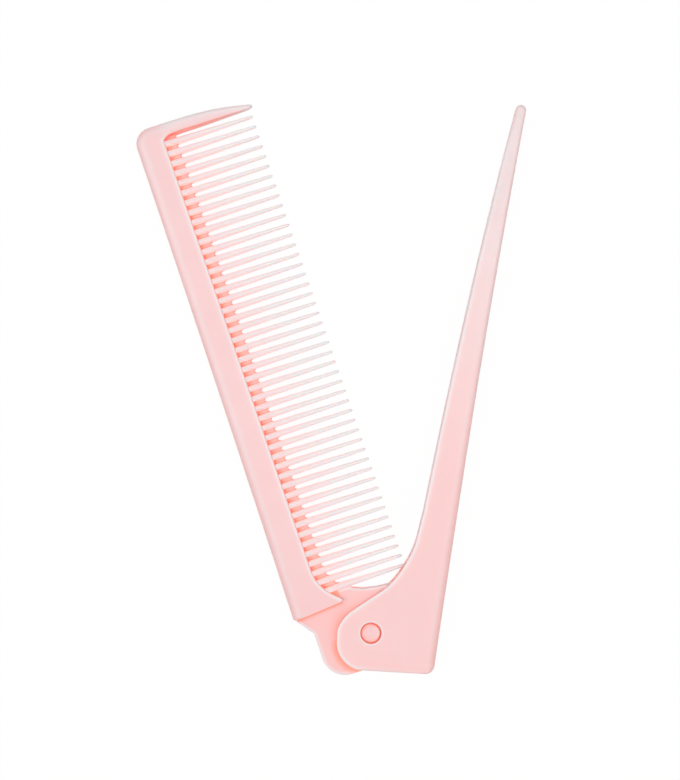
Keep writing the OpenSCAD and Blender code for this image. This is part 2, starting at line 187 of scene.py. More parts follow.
last_tooth = tooth_y(tooth_count - 1)
foot_in, foot_out, foot_r = first_tooth - 3.2, first_tooth - 4.25, 0.7
flare_low, flare_top = foot_in + 0.85, first_tooth + 5.9
flare_w, flare_power, bar_slope = 4.3, 2.43, 0.0157
last_gap, guard_w, corner_r = 0.8, 3.0, 3.6
guard_in = last_tooth + tooth_root_w / 2 + last_gap
comb_top = guard_in + guard_w
fillet_wide, fillet_high, guard_reach = 2.2, 1.3, 10.9
guard_bend_x, guard_drop, guard_power = -6.0, 2.03, 2.3
guard_step, guard_step_run, guard_rise = 0.1, 2.0, 0.016


def spine_out(y):
    """The back edge runs straight and bows out by the square of the height. A round of foot_r
    takes off its lower corner."""
    low = np.clip(foot_out + foot_r - y, 0, foot_r)
    return foot_r - np.sqrt(foot_r ** 2 - low ** 2) - (
        spine_back + spine_bow * ((y - foot_out) / (comb_top - foot_out)) ** 2)


def bar_edge(y):
    """The bar's inner edge but for its flare: straight, leaning back by bar_slope."""
    return spine_w - spine_back - bar_slope * (y - flare_top)


def spine_in(y):
    """The bar's inner edge, drawn out towards the pin near the foot by a power of the depth."""
    depth = np.maximum(0, flare_top - y) / (flare_top - flare_low)
    return bar_edge(y) + flare_w * depth ** flare_power


def guard_high(x):
    """The guard's outer edge bends down towards its tip by a power of the distance."""
    bent = np.maximum(0, x - guard_bend_x) / (guard_reach - guard_bend_x)
    return comb_top - guard_drop * bent ** guard_power


def guard_low(x):
    """The guard's inner edge steps up where it starts, and rises evenly past the pin."""
    stepped = guard_step * np.clip((x - x[0]) / guard_step_run, 0, 1)
    return guard_in + stepped + guard_rise * np.maximum(0, x)


# Both edges of the bar, from the fang at its foot to the start of the bend.
fang_size = np.array([0.55, 0.42])
fang = np.array([-4.1, foot_in + fang_size[1]])
above_fang, bend_y = flare_low + 0.32, 113.0
a = np.radians(np.linspace(-90, 50, 18))
hook = fang + fang_size * np.stack([np.cos(a), np.sin(a)], axis=1)
y = np.concatenate([np.linspace(above_fang, flare_top, 40),
                    np.linspace(flare_top, bend_y, 80)[1:]])
run_in = np.vstack([hook, np.stack([spine_in(y), y], axis=1)])
y = run_in[:, 1]
y = y - (foot_in - foot_out) * np.maximum(0, 1 - (y - foot_in) / (flare_top - foot_in))
run_out = np.stack([spine_out(y), y], axis=1)

# The bend into the guard: a fillet inside, a round corner outside.
guard_start = spine_in(guard_in - fillet_high)
a = np.radians(np.linspace(0, 90, 20))
y = np.linspace(bend_y, guard_in - fillet_high, 12)
fillet = np.stack([guard_start + fillet_wide * (1 - np.cos(a)),
                   guard_in - fillet_high * (1 - np.sin(a))], axis=1)
bend_in = spread(np.vstack([np.stack([spine_in(y), y], axis=1)[:-1], fillet]), 44)
y = np.linspace(bend_y, comb_top - corner_r, 8)
centre_x = spine_out(comb_top - corner_r) + corner_r
corner = np.stack([centre_x - corner_r * np.cos(a),
                   comb_top - corner_r + corner_r * np.sin(a)], axis=1)
bend_out = spread(np.vstack([np.stack([spine_out(y), y], axis=1)[:-1], corner,
                             [[guard_start + fillet_wide, comb_top]]]), 44)

# The guard, and the round of its nose.
nose_share = 0.94
nose_x = guard_start + nose_share * (guard_reach - guard_start)
x = np.linspace(guard_start + fillet_wide, nose_x, 50)
low, high = np.stack([x, guard_low(x)], axis=1), np.stack([x, guard_high(x)], axis=1)
nose_y, nose_half = (low[-1, 1] + high[-1, 1]) / 2, (high[-1, 1] - low[-1, 1]) / 2
a = np.radians(np.linspace(8, 88, 11))
x = nose_x + (guard_reach - nose_x) * np.sin(a)
nose_low = np.stack([x, nose_y - nose_half * np.cos(a)], axis=1)
nose_high = np.stack([x, nose_y + nose_half * np.cos(a)], axis=1)

# The whole run, thinner towards the guard's tip and rounded under the foot.
foot_round, guard_thinner, thinner_power = 0.12, 1.4, 1.4
edge_in = np.vstack([run_in[:-1], bend_in, low[1:], nose_low])
edge_out = np.vstack([run_out[:-1], bend_out, high[1:], nose_high])
edge_w = np.linalg.norm(edge_out - edge_in, axis=1)
along = np.maximum(0, edge_in[:, 0] - guard_start) / (guard_reach - guard_start)
along[:len(run_in)] = 0
back_half = half_t - guard_thinner * along ** thinner_power
back_half[-len(a):] *= 0.35 + 0.65 * np.cos(a)
up_foot = np.clip((edge_in[:, 1] - foot_in) / foot_round, 0, 1)
back_half -= foot_round * (1 - np.sqrt(1 - (1 - up_foot) ** 2))

# The bar's edges, softer behind than inside, and how much less wide both are on the guard.
soft_w, soft_less, soft_deep = 2.3, 0.7, 2.0
slight_w, slight_less, slight_deep = 0.35, 0.23, 0.35
on_guard = np.clip(along / 0.1, 0, 1)
in_w = np.minimum(slight_w - slight_less * on_guard, 0.25 * edge_w)
in_deep = slight_deep + (0.7 * back_half - slight_deep) * on_guard
out_w = np.minimum(soft_w - soft_less * on_guard, 0.45 * edge_w)
out_deep = np.minimum(soft_deep, 0.85 * back_half)
rings, from_in, from_out = bar_rings(edge_in, edge_out, back_half, in_w, in_deep, out_w, out_deep)


def computed(tree, operation, *terms):
    """A Math node's result from its terms, each a number or what another node puts out."""
    node = tree.nodes.new("ShaderNodeMath")
    node.operation = operation
    for socket, term in zip(node.inputs, terms):
        if isinstance(term, float):
            socket.default_value = term
        else:
            tree.links.new(term, socket)
    return node.outputs[0]


def ranged(tree, value, near, far, at_near, at_far, easing="LINEAR"):
    """A value between near and far drawn to the range from at_near to at_far, and kept in it."""
    node = tree.nodes.new("ShaderNodeMapRange")
    node.interpolation_type = easing
    ends = {"From Min": near, "From Max": far, "To Min": at_near, "To Max": at_far}
    for name, v in ends.items():
        node.inputs[name].default_value = v
    tree.links.new(value, node.inputs["Value"])
    return node.outputs["Result"]


cloud_scale, gloss_scale, peel_scale, grain_scale = 38.0, 260.0, 900.0, 4200.0
gloss_swing, grain_share = 0.035, 0.35


def moulded_group():
    """Node group of the moulded plastic's surface. One painted input draws the colour to the deep
    one, as painted shade in hollows and on walls, and gives a faint painted glow there that
    stands in for the light which the plastic lets through; the other draws it to the pale one,
    as painted highlights along rounded edges and on other lit places. Noise on the object's
    coordinates, at so many swells to the metre, gives slow clouding, uneven gloss, and the
    mould's fine orange peel with a finer grain on it."""
    group = bpy.data.node_groups.new("moulded_surface", "ShaderNodeTree")
    for side, kind, names in (
            ("INPUT", "NodeSocketColor", ("Colour", "Deep colour", "Pale colour")),
            ("INPUT", "NodeSocketFloat", ("Depth", "Sheen", "Clouding", "Gloss")),
            ("OUTPUT", "NodeSocketColor", ("Colour", "Glow")),
            ("OUTPUT", "NodeSocketFloat", ("Roughness", "Height"))):
        for name in names:
            group.interface.new_socket(name, in_out=side, socket_type=kind)
    nodes, links = group.nodes, group.links
    given, out = nodes.new("NodeGroupInput"), nodes.new("NodeGroupOutput")
    where = nodes.new("ShaderNodeTexCoord")

    def noise(scale, detail):
        """Noise on the object's coordinates, in metres."""
        n = nodes.new("ShaderNodeTexNoise")
        n.inputs["Scale"].default_value = scale
        n.inputs["Detail"].default_value = detail
        links.new(where.outputs["Object"], n.inputs["Vector"])
        return n.outputs["Fac"]

    def mixed(a, b, fac):
        """Colour a where fac is 0, drawn to colour b where it is 1."""
        m = nodes.new("ShaderNodeMix")
        m.data_type = "RGBA"
        links.new(a, m.inputs["A"])
        links.new(b, m.inputs["B"])
        links.new(fac, m.inputs["Factor"])
        return m.outputs["Result"]

    cloud = ranged(group, noise(cloud_scale, 2.0), 0.3, 0.7, 0.0, 1.0)
    amount = computed(group, "MULTIPLY", cloud, given.outputs["Clouding"])
    paler = mixed(given.outputs["Colour"], given.outputs["Pale colour"], given.outputs["Sheen"])
    deeper = mixed(paler, given.outputs["Deep colour"], given.outputs["Depth"])
    links.new(mixed(deeper, given.outputs["Deep colour"], amount), out.inputs["Colour"])
    # The painted glow: the deep colour scaled by the painted shade.
    painted_glow = nodes.new("ShaderNodeVectorMath")
    painted_glow.operation = "SCALE"
    links.new(given.outputs["Deep colour"], painted_glow.inputs[0])
    links.new(given.outputs["Depth"], painted_glow.inputs["Scale"])
    links.new(painted_glow.outputs[0], out.inputs["Glow"])
    uneven = ranged(group, noise(gloss_scale, 3.0), 0.3, 0.7, -gloss_swing, gloss_swing)
    links.new(computed(group, "ADD", uneven, given.outputs["Gloss"]), out.inputs["Roughness"])
    grain = ranged(group, noise(grain_scale, 1.0), 0.0, 1.0, 0.0, grain_share)
    links.new(computed(group, "ADD", noise(peel_scale, 2.0), grain), out.inputs["Height"])
    return group


moulded = moulded_group()


def plastic(name, colour, deep, pale, clouding=0.03, gloss=0.36, subsurface=0.3, reach=1.0,
            peel=0.02, glow=0.15):
    """Moulded plastic: the shared surface group feeds a Principled shader, which lets light reach
    a little way into the pink. The mesh's two attributes paint shade, which deepens the colour,
    and highlight, which pales it, and glow is the strength of the painted glow in that shade.
    Reach and peel are in millimetres."""
    mat = bpy.data.materials.new(name)
    mat.use_nodes = True
    nodes, links = mat.node_tree.nodes, mat.node_tree.links
    shader = nodes["Principled BSDF"]
    skin = nodes.new("ShaderNodeGroup")
    skin.node_tree = moulded
    skin.inputs["Colour"].default_value = (*colour, 1)
    skin.inputs["Deep colour"].default_value = (*deep, 1)
    skin.inputs["Pale colour"].default_value = (*pale, 1)
    skin.inputs["Clouding"].default_value = clouding
    skin.inputs["Gloss"].default_value = gloss
    for key, socket in (("depth", "Depth"), ("thin", "Sheen")):
        layer = nodes.new("ShaderNodeAttribute")
        layer.attribute_name = key
        links.new(layer.outputs["Fac"], skin.inputs[socket])
    relief = nodes.new("ShaderNodeBump")
    relief.inputs["Strength"].default_value = 0.25
    relief.inputs["Distance"].default_value = peel * MM
    links.new(skin.outputs["Height"], relief.inputs["Height"])
    links.new(skin.outputs["Colour"], shader.inputs["Base Color"])
    links.new(skin.outputs["Glow"], shader.inputs["Emission Color"])
    links.new(skin.outputs["Roughness"], shader.inputs["Roughness"])
    links.new(relief.outputs["Normal"], shader.inputs["Normal"])
    shader.inputs["Emission Strength"].default_value = glow
    shader.inputs["IOR"].default_value = 1.5
    shader.inputs["Subsurface Weight"].default_value = subsurface
    shader.inputs["Subsurface Radius"].default_value = (1.0, 0.3, 0.25)
    shader.inputs["Subsurface Scale"].default_value = reach * MM
    return mat


# deep_pink is the colour of painted shade, pale_pink and edge_pink those of painted highlights.
face_pink = (0.92, 0.60, 0.60)
deep_pink = (0.98, 0.22, 0.13)
pale_pink = (0.86, 0.745, 0.755)
edge_pink = (0.88, 0.79, 0.80)
comb_plastic = plastic("comb_plastic", face_pink, deep_pink, edge_pink)

# Painted shade deepens the colour under the foot, on the inner wall of the bar and, less so
# towards its tip, of the guard, and faintly behind. Painted highlights pale it beside both
# edges, a little more up the bar, and on the guard.
guard = on_guard[:, None]
foot_wall = 0.85 * (1 - up_foot[:, None]) ** 1.5
wall_tone = (np.interp(edge_in[:, 0], (guard_start, 2, 6, 10), (0.95, 0.75, 0.5, 0.1))
             * np.interp(edge_in[:, 1], (9.7, 10.6), (0.15, 1.0)))[:, None]
inner_wall = wall_tone * np.exp(-from_in / (0.07 + 0.13 * guard))
back_wall = 0.12 * (1 - guard) * np.exp(-from_out / 0.4)
back_line = 0.34 * bump(from_out, 1.5, 0.6)
inner_line = 0.9 * bump(from_in, 0.45, 0.25)
up_bar = 0.15 * np.clip(edge_in[:, 1:] / comb_top, 0, 1)
guard_face = 0.45 + 0.55 * bump(from_out, 0.75, 0.6)
comb_back = mesh_object(
    "comb_back", stand(rings, comb_lean), tube_faces(*rings.shape[:2]), comb_plastic,
    depth=np.maximum(foot_wall, inner_wall + back_wall),
    thin=np.clip((1 - guard) * (back_line + inner_line + up_bar) + guard * guard_face, 0, 1))
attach(comb_back, "comb")
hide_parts("comb_spine", "end_guard")

# Strip between the teeth

# A thin web of the same moulding joins the roots of the teeth. It lies well below the bar's
# faces, and each gap between two teeth ends in it with a small round, a shallower one beside
# the guard.
strip_w, strip_half, strip_edge_r = 2.85, 0.6, 0.22
strip_top = flare_top + 0.4
strip_flare, strip_power = 6.36, 2.57
gap_round, last_round_share = 0.46, 0.3
tucked, tucked_edge_r = 0.4, 0.1


def strip_edge(y):
    """The strip's edge runs beside the bar's and swings out near the foot by a power."""
    depth = np.maximum(0, strip_top - y) / (strip_top - flare_low)
    return bar_edge(y) + strip_w + strip_flare * depth ** strip_power


# Along the strip, row counts the teeth, and each gap ends in half an ellipse.
row_start, row_end, rows_per_gap = -0.25, tooth_count - 0.17, 14
row = np.linspace(row_start, row_end, (tooth_count + 1) * rows_per_gap)
y = tooth_y(row)
from_gap = np.abs(row - np.floor(row) - 0.5) * tooth_pitch
gap_half = (tooth_pitch - tooth_root_w) / 2
bite = gap_round * np.sqrt(np.maximum(0, 1 - (from_gap / gap_half) ** 2))
bite[row > tooth_count - 1] *= last_round_share
strip_in = np.stack([spine_in(y) - tucked, y], axis=1)
strip_out = np.stack([strip_edge(y) - bite, y], axis=1)
rings, from_in, from_out = bar_rings(strip_in, strip_out, strip_half, tucked_edge_r, tucked_edge_r,
                                     strip_edge_r, strip_edge_r, steps=4)

# The strip's own pink is deeper than the faces', as painted shade of its recess, and painted
# shade makes it deepest beside the bar, the teeth and the gap's end.
strip_pink, strip_deep = (0.98, 0.49, 0.46), (0.98, 0.20, 0.10)
strip_plastic = plastic("strip_plastic", strip_pink, strip_deep, pale_pink)
by_bar = 0.9 * np.exp(-np.maximum(0, from_in - tucked) / 0.4)
by_teeth = 0.45 * np.clip(from_gap / gap_half, 0, 1)[:, None] ** 3
by_gap = 0.4 * np.exp(-from_out / 0.2)
comb_strip = mesh_object(
    "comb_strip", stand(rings, comb_lean), tube_faces(*rings.shape[:2]), strip_plastic,
    depth=np.clip(by_bar + by_teeth + by_gap, 0, 1))
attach(comb_strip, "comb")
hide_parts("tooth_web")

# Teeth

# Forty-seven fine teeth of the same moulding, flush with the bar's faces where they leave it.
# Each is a little narrower over the strip, rounded above and below its middle plane, and
# tapers straight to a small round tip.
flush_half, root_half, tip_half = 2.485, 1.58, 0.7  # half the thickness, at bar, strip and tip
narrow_high, narrow_low = 0.2, 0.08  # how much each flank steps in over the strip
tip_x, tip_slope, tip_round, tip_stop = 11.7, 0.0131, 0.55, 0.002
rooted, merged = 0.6, 0.35
tooth_rings, tooth_around = 22, 20
ty = tooth_y(np.arange(tooth_count)[:, None, None])
tip = tip_x - tip_slope * (ty - first_tooth)
start = spine_in(ty)
edge = strip_edge(ty)

# Rings from the root, sunk in the bar, to the tip, closer together towards the tip.
s = 1 - (1 - np.linspace(0, 1, tooth_rings)) ** 1.7
x = start - rooted + (tip - tip_stop - start + rooted) * s[None, :, None]
past_edge = np.clip((x - edge) / (tip - edge), 0, 1)
in_row = np.clip((edge - x) / (edge - start + merged), 0, 1)
close = np.sqrt(np.maximum(0.0, 1 - np.clip((x - tip + tip_round) / tip_round, 0, 1) ** 2))

# Each ring is a superellipse, squarer over the strip, and leans with the bar at the root.
angle = np.linspace(0, 2 * np.pi, tooth_around, endpoint=False)[None, None, :]
cy, cz = np.cos(angle), np.sin(angle)
squared = 2 / (3.0 + 3.5 * in_row)
wide = tooth_root_w + (tooth_tip_w - tooth_root_w) * past_edge
half_wide = wide / 2 - np.where(cy > 0, narrow_high, narrow_low) * in_row
half_thick = (root_half + (tip_half - root_half) * past_edge
              + (flush_half - root_half) * in_row)
ring_y = ty + half_wide * close * np.sign(cy) * np.abs(cy) ** squared
ring_z = half_thick * (0.3 + 0.7 * close) * close ** 0.3 * np.sign(cz) * np.abs(cz) ** squared
at_root = np.clip(1 - (x - start + rooted) / (edge - start + rooted), 0, 1)
points = np.stack([x + (spine_in(ring_y) - start) * at_root, ring_y, ring_z], axis=-1)
faces = []
for k in range(tooth_count):
    faces += tube_faces(tooth_rings, tooth_around, k * tooth_rings * tooth_around)

# Painted shade and a painted glow on the flanks stand in for the light that they let through,
# most over the strip. A painted highlight pales the rest towards the tip, and the teeth's own
# pink is paler than the bar's, as painted light.
tooth_pink, tooth_deep = (0.92, 0.76, 0.77), (0.98, 0.58, 0.52)
tooth_pale = (0.86, 0.84, 0.85)
flank = np.broadcast_to(np.clip(1.6 - np.abs(cz) * 1.6, 0, 1), ring_y.shape)
tooth_plastic = plastic("tooth_plastic", tooth_pink, tooth_deep, tooth_pale, subsurface=0.6,
                        reach=0.8, glow=0.8)
comb_teeth = mesh_object(
    "comb_teeth_row", stand(points, comb_lean), faces, tooth_plastic,
    depth=flank * (0.4 + 0.45 * in_row - 0.12 * past_edge),
    thin=np.broadcast_to(np.clip(0.15 + 1.6 * past_edge, 0, 1), ring_y.shape))
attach(comb_teeth, "comb")
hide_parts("comb_teeth")

# Hinge tongue

# The flat tongue at the comb's foot, of the same moulding, turns on the pin in the handle's
# slot. It is thinner than the bar, dips beside the first tooth, and carries a small mould
# mark on that edge.
handle_lean = -9.0
tongue_half_w, tongue_drop, tongue_r = 11.85, 7.35, 5.2
tongue_half_t, round_w, round_deep = 1.15, 0.3, 0.15
pin_r = 2.25
dip_r, dip_x, dip_y = 18.85, 6.9, first_tooth - 2.75
ramp_step, ramp_low, ramp_r = 0.05, 3.6, 0.6
mark_x, mark_w, mark_deep = 1.4, 0.38, 0.75


def arc(centre, r, start, end, count):
    """Points of a round line of radius r, from one angle to another in degrees."""
    a = np.radians(np.linspace(start, end, count))
    return np.stack([centre[0] + r * np.cos(a), centre[1] + r * np.sin(a)], axis=1)


def outward(path):
    """Unit normals of a closed line that runs anticlockwise, pointing out of it, and the
    stretch that keeps an even inset at its corners."""
    a = path - np.roll(path, 1, axis=0)
    b = np.roll(path, -1, axis=0) - path
    a /= np.linalg.norm(a, axis=1)[:, None]
    b /= np.linalg.norm(b, axis=1)[:, None]
    na, nb = np.stack([a[:, 1], -a[:, 0]], axis=1), np.stack([b[:, 1], -b[:, 0]], axis=1)
    return (na + nb) / (1 + np.sum(na * nb, axis=1))[:, None]


def inset(path, width):
    """A closed line moved inwards by the width, one number or one for each point."""
    return path - outward(path) * np.broadcast_to(width, (len(path),))[:, None]


def plate(levels, loops, hole=None):
    """Points and faces of a flat plate. levels are closed lines of equal count stacked from
    its lowest face to its highest, hole a like stack for a round hole through it. loops are
    the ranges of the line's points that bound each flat part; the hole lies in the first."""
    rings, around = levels.shape[:2]
    faces = tube_faces(rings, around)[:-2]
    points = levels.reshape(-1, 3)
    if hole is not None:
        faces += tube_faces(*hole.shape[:2], start=len(points))[:-2]
        hole_first, hole_last = len(points), len(points) + (len(hole) - 1) * hole.shape[1]
        points = np.vstack([points, hole.reshape(-1, 3)])
    for top in (False, True):
        start = (rings - 1) * around if top else 0
        for k, loop in enumerate(loops):
            lines = [start + np.asarray(loop)]
            if hole is not None and k == 0:
                lines.append((hole_last if top else hole_first) + np.arange(hole.shape[1]))
            found = tessellate_polygon([(points[line] * [1, 1, 0]).tolist() for line in lines])
            faces += np.concatenate(lines)[np.array(found)].tolist()
    return points, faces


def lift(line, z):
    """A flat line at height z, one number or one for each point."""
    return np.concatenate([line, np.broadcast_to(z, (len(line),))[:, None]], axis=1)


def circle(r, z, count=96):
    """A round line about the pin's axis at height z."""
    a = np.linspace(0, 2 * np.pi, count, endpoint=False)
    return lift(r * np.stack([np.cos(a), np.sin(a)], axis=1), z)


def round_corner(before, at, after, r, count):
    """The arc of radius r that touches both lines of a corner."""
    before, at, after = (np.array(v, float) for v in (before, at, after))
    u = (before - at) / np.linalg.norm(before - at)
    v = (after - at) / np.linalg.norm(after - at)
    half = math.acos(np.dot(u, v)) / 2
    middle = (u + v) / np.linalg.norm(u + v)
    centre = at + middle * r / math.sin(half)
    start = at + u * r / math.tan(half) - centre
    end = at + v * r / math.tan(half) - centre
    turn = math.degrees(math.atan2(start[0] * end[1] - start[1] * end[0], np.dot(start, end)))
    a0 = math.degrees(math.atan2(start[1], start[0]))
    return arc(centre, r, a0, a0 + turn, count)


# The outline, along the dip, down round both lower corners, up the ramp to the toe of the bar,
# and back inside the bar and the first tooth, where nothing of it shows.
dip_start, hidden_left, hidden_right, hidden_rise = -0.95, -7.5, -1.1, 0.1
toe_in, toe_drop = 0.06, 0.25
root_y = first_tooth - tooth_root_w / 2 + hidden_rise
toe = (foot_r - spine_back - toe_in, foot_out - toe_drop)
x = np.linspace(dip_start, tongue_half_w + ramp_step, 40)
dip = dip_y + dip_r - np.sqrt(dip_r ** 2 - (x - dip_x) ** 2)
corner = np.array([tongue_half_w - tongue_r, tongue_r - tongue_drop])
ramp = (-tongue_half_w - ramp_step, ramp_low)
tongue = np.vstack([
    np.stack([x, dip], axis=1),
    arc(corner, tongue_r + ramp_step, 0, -90, 30),
    arc(corner * [-1, 1], tongue_r, -90, -180, 30),
    round_corner((-tongue_half_w, 0), ramp, toe, ramp_r, 8),
    [toe, [toe[0] + 0.2, foot_out + 0.3], [hidden_left, root_y]],
    np.stack([np.linspace(hidden_left + 1, hidden_right, 6), np.full(6, root_y)], axis=1)])[::-1]

# Each face is stepped in from the outline over a small round, and dented at the mark.
across, down = quarter_edge(6)
insets = [round_w + 0.5, round_w + 0.12] + [round_w * w for w in across]
heights = [tongue_half_t, tongue_half_t] + [tongue_half_t - round_deep * d for d in down]
on_dip = np.clip(tongue[:, 1] - 7, 0, 1)
mark = on_dip * bump(tongue[:, 0], mark_x, mark_w)
levels = [lift(inset(tongue, v), z - mark_deep * mark * max(0, 1 - v / round_w))
          for v, z in zip(insets, heights)]
levels = np.stack([lift(v[:, :2], -v[:, 2]) for v in levels] + levels[::-1])
hole = np.stack([circle(pin_r, -tongue_half_t), circle(pin_r, tongue_half_t)])
points, faces = plate(levels, [range(len(tongue))], hole)

# Painted shade darkens the wall, most at the dip's left end and not at the mark, with a line
# of painted highlight inside it. The tongue's own pink is a little deeper than the bar's, as
# painted shade.
wall_fade = 0.06
tongue_pink, tongue_deep = (0.95, 0.565, 0.555), (0.98, 0.28, 0.18)
in_hole = len(points) - levels.shape[0] * levels.shape[1]
from_edge = np.repeat(insets + insets[::-1], len(tongue))
from_edge = np.concatenate([from_edge, np.full(in_hole, 2.0)])
dip_shade = np.interp(tongue[:, 0], (1.5, 3.5), (0.55, 0.15)) * on_dip * (1 - mark)
wall_shade = np.tile(dip_shade + 0.2 * (1 - on_dip), len(levels))
wall_shade = np.concatenate([wall_shade, np.zeros(in_hole)])
tongue_plastic = plastic("tongue_plastic", tongue_pink, tongue_deep, pale_pink, glow=0.25)
hinge_tongue = mesh_object("tongue", stand(points, comb_lean), faces, tongue_plastic,
                           depth=wall_shade * np.exp(-from_edge / wall_fade),
                           thin=bump(from_edge, 0.25, 0.3))
fang_line = 3.9
lobe_round_at = (-1.1, -2.53)


def deeper_near_hinge(mat):
    """Painted shade deepens the tongue's pink where the lobe and the foot shade it: towards the
    cheeks' lobe, by the distance from the pin's axis, and below from the middle of the lobe's
    lower round, and under the spine's foot, by the distance from the foot's line. Each falls
    off smoothly, and the deepest one holds."""
    tree = mat.node_tree
    skin = next(n for n in tree.nodes if n.type == "GROUP")
    where = tree.nodes.new("ShaderNodeTexCoord")

    def vector(operation, value, source):
        """A Vector Math node's result from a source and one constant vector."""
        n = tree.nodes.new("ShaderNodeVectorMath")
        n.operation = operation
        n.inputs[1].default_value = value
        tree.links.new(source, n.inputs[0])
        return n.outputs["Value" if operation in ("DISTANCE", "DOT_PRODUCT") else "Vector"]

    def fall(source, near, far, most):
        """Most at near, falling smoothly to nothing at far, both in millimetres."""
        return ranged(tree, source, near * MM, far * MM, most, 0.0, "SMOOTHSTEP")

    def deepest(a, b):
        """The larger of two depths."""
        return computed(tree, "MAXIMUM", a, b)

    def within(a, b):
        """A depth in its share of the place, as their product."""
        return computed(tree, "MULTIPLY", a, b)

    foot = stand(np.array([[-fang_line, foot_in, 0.0], [-spine_back, foot_out, 0.0]]), comb_lean)
    slope = (foot[1] - foot[0]) / np.linalg.norm(foot[1] - foot[0])
    flat = vector("MULTIPLY", (1, 1, 0), where.outputs["Object"])
    from_foot = vector("SUBTRACT", (foot[0][0], foot[0][1], 0), flat)
    below = vector("DOT_PRODUCT", (-slope[1], slope[0], 0), from_foot)
    beside = vector("DOT_PRODUCT", (-slope[0], -slope[1], 0), from_foot)
    under_foot = deepest(fall(below, 0.0, 1.3, 0.42), fall(below, 0.25, 0.75, 0.95))
    under_foot = within(under_foot, fall(beside, -0.3, 0.5, 1.0))

    lean = math.radians(handle_lean)
    from_pin = vector("SUBTRACT", (pivot[0], pivot[1], 0), flat)
    height = vector("DOT_PRODUCT", (-math.sin(lean), math.cos(lean), 0), from_pin)
    radius = vector("DISTANCE", (pivot[0], pivot[1], 0), flat)
    middle = stand(np.array([[*lobe_round_at, 0.0]]), handle_lean)[0]
    from_middle = vector("DISTANCE", (middle[0], middle[1], 0), flat)
    by_lobe = within(fall(radius, 6.6, 10.0, 0.38), fall(height, 1.0, 8.0, 1.0))
    by_lobe = deepest(by_lobe, fall(radius, 6.6, 9.0, 0.06))
    below_lobe = within(fall(from_middle, 5.95, 7.9, 0.85), fall(height, -4.6, -1.0, 1.0))
    by_lobe = deepest(by_lobe, below_lobe)
    painted = skin.inputs["Depth"].links[0].from_socket
    tree.links.new(deepest(deepest(by_lobe, under_foot), painted), skin.inputs["Depth"])


deeper_near_hinge(tongue_plastic)
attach(hinge_tongue, "comb")
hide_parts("hinge_tongue")

# Hinge pin

# A plain round pin of pink plastic, pressed into the tongue. Its softly rounded ends lie just
# below the cheeks' faces, inside the rounded rims of their holes.
pin_seen_r, pin_sunk, pin_round, pin_around = 2.13, 0.4, 0.37, 64
pin_end, shoulder = half_t - pin_sunk, tongue_half_t + 0.1
pin_off_centre = np.array([-0.07, -0.02])
across, down = quarter_edge(8)
flat_r = np.array([0.02, 0.6, 1.2, 1.45, 1.55, 1.65, 1.72])
profile = np.vstack([
    np.stack([flat_r, np.full(len(flat_r), pin_end)], axis=1),
    np.stack([pin_seen_r - pin_round * across, pin_end - 1.3 * pin_round * down], axis=1),
    [[pin_seen_r, shoulder + 0.04], [pin_r - 0.01, shoulder]]])
profile = np.vstack([profile * [1, -1], profile[::-1]])
levels = np.stack([circle(r, z, pin_around) for r, z in profile])
levels[..., :2] += pin_off_centre * (np.abs(levels[..., 2:]) > shoulder + 0.01)

# Painted shade deepens the recess round each end, and on the lit side a painted highlight
# lies in a line too.
pin_deep = (0.98, 0.28, 0.17)
pin_plastic = plastic("pin_plastic", face_pink, pin_deep, pale_pink)
lit_side = 5.0
radius = profile[:, :1]
turned = np.linspace(0, 360, pin_around, endpoint=False) + comb_lean - lit_side
lit = np.clip(1.6 * np.cos(np.radians(turned))[None, :] - 0.6, 0, 1)
pin = mesh_object("pin", stand(levels, comb_lean), tube_faces(*levels.shape[:2]), pin_plastic,
                  depth=np.clip((radius - 1.15 - 0.6 * lit) / 0.8, 0, 1) * (0.5 + 0.5 * lit),
                  thin=bump(radius, 1.65, 0.12) * lit)
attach(pin, "comb")
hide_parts("hinge_pin")

# Handle cheeks

# Two flat cheeks of the handle moulding, in pink plastic, hold the tongue between them. Each
# is rounded along its edges, broadly along the back, and runs on over the solid tail to the
# point.
slot_half, cheek_t = 1.3, 1.2
web_face, handle_back = 12.4, 14.6
tail_reach, slot_end, tail_tip_half = 119.2, 93.0, 1.4
waist, throat_top = 0.394 * tail_reach, 28.0
base_flare, tail_flare = 0.21, 1.16
throat_x, inner_slope, inner_close, close_power = 7.25, 0.0445, 2.23, 2.3
tip_r = 1.28
tip_y = tail_reach - tip_r
base_drop, base_slope = 8.3, math.radians(5.5)
lobe_left = 6.95
throat_hi_r, throat_lo_r, lobe_hi_r, lobe_lo_r, base_r = 20.0, 18.0, 7.4, 5.85, 2.0


def handle_out(y):
    """The back edge bends outwards both ways from its waist, by the square of the distance."""
    low = handle_back + base_flare * (1 - y / waist) ** 2
    high = handle_back + tail_flare * ((y - waist) / (tail_reach - waist)) ** 2
    return np.where(y < waist, low, high)


def handle_in(y):
    """The inner edge slopes evenly and closes on the back edge by a power of the height."""
    up = np.maximum(0, y - throat_top) / (tail_reach - throat_top)
    return throat_x + inner_slope * (y - throat_top) + inner_close * up ** close_power


